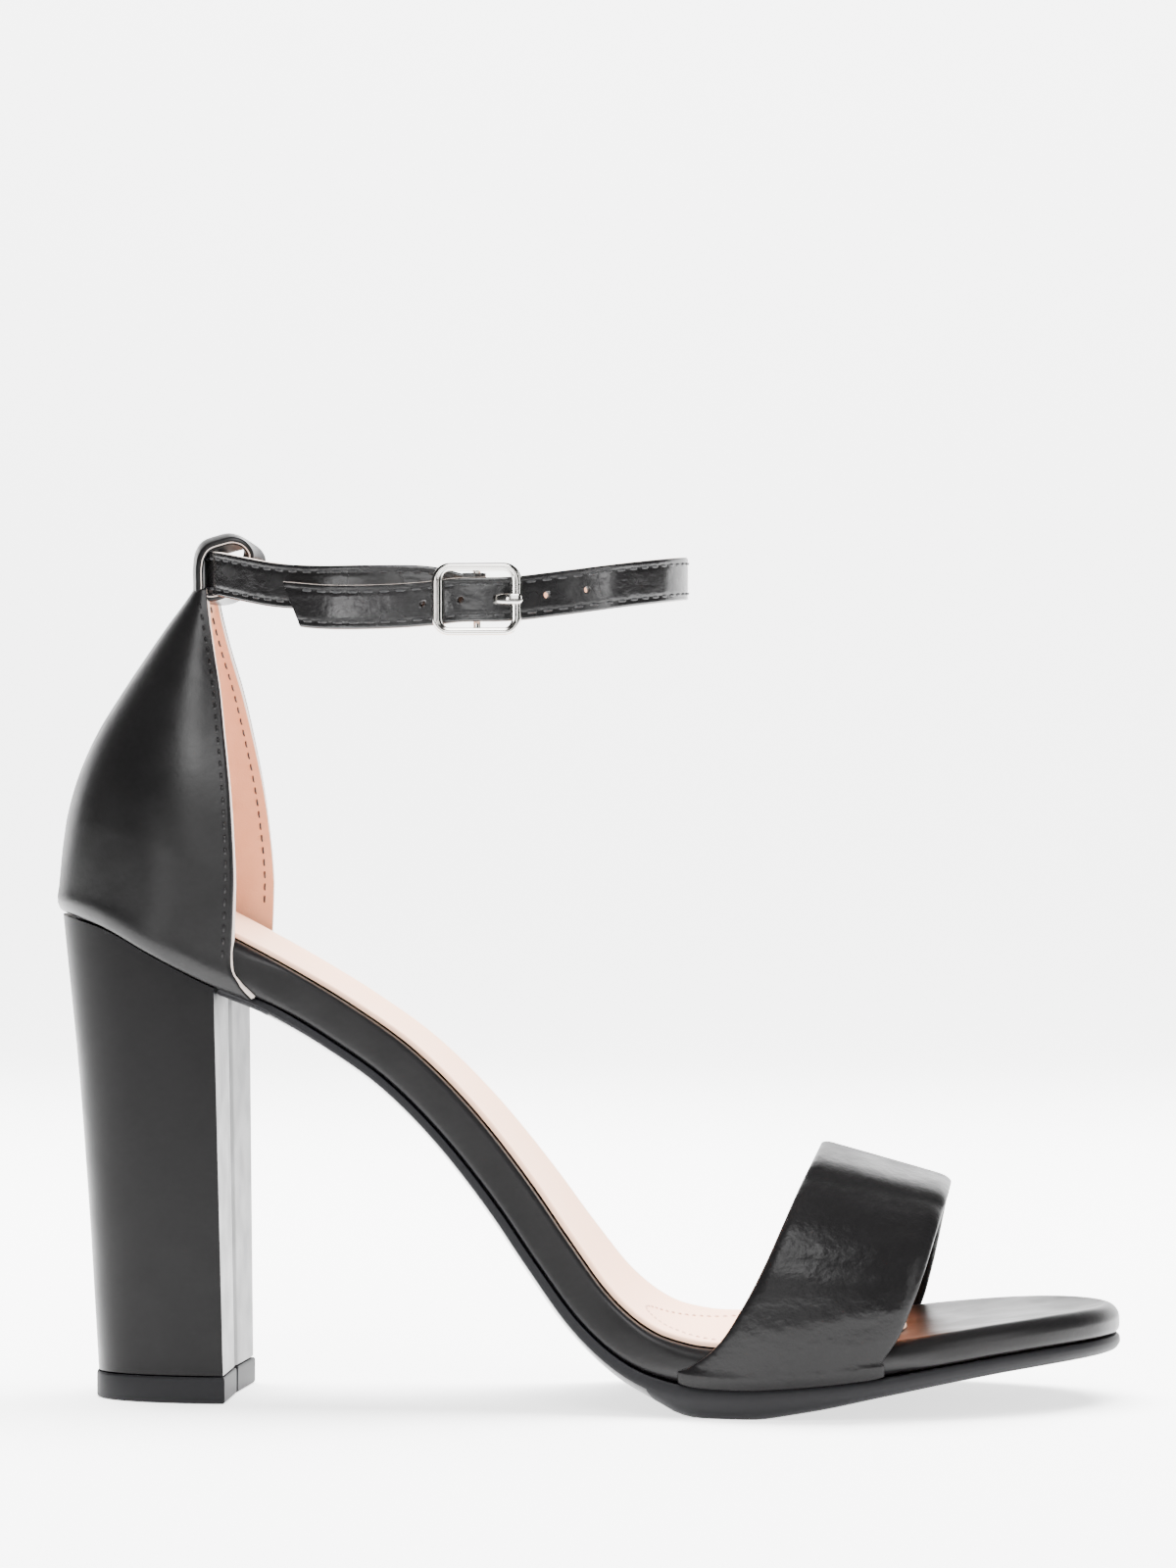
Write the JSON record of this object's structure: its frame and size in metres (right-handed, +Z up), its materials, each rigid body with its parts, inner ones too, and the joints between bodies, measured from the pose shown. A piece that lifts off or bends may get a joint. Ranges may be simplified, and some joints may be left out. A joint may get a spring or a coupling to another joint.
{
  "type": "heeled ankle strap sandal",
  "caption": "Right-foot sandal with a tall block heel, closed heel counter, buckled ankle strap and one padded band over the toes.",
  "frame": {"origin": "middle of the shoe's box on the floor it stands on", "axes": "+X towards the toe, +Y towards the medial side, +Z up"},
  "size_m": [0.2104, 0.088, 0.1713],
  "materials": {
    "outsole_rubber": "semi-matt black moulded sole",
    "upper_leather": "smooth satin black imitation leather",
    "sock_leather": "pale pink soft sock lining",
    "tip_rubber": "matt black heel tip",
    "buckle_metal": "polished silver-coloured metal"
  },
  "bodies": {
    "root": {"outsole": "outsole_rubber", "midsole": "upper_leather", "insole": "sock_leather", "heel_block": "upper_leather", "heel_tip": "tip_rubber", "heel_counter": "upper_leather", "vamp_strap": "upper_leather", "ankle_strap": "upper_leather", "buckle_frame": "buckle_metal", "buckle_prong": "buckle_metal"}
  },
  "joints": []
}
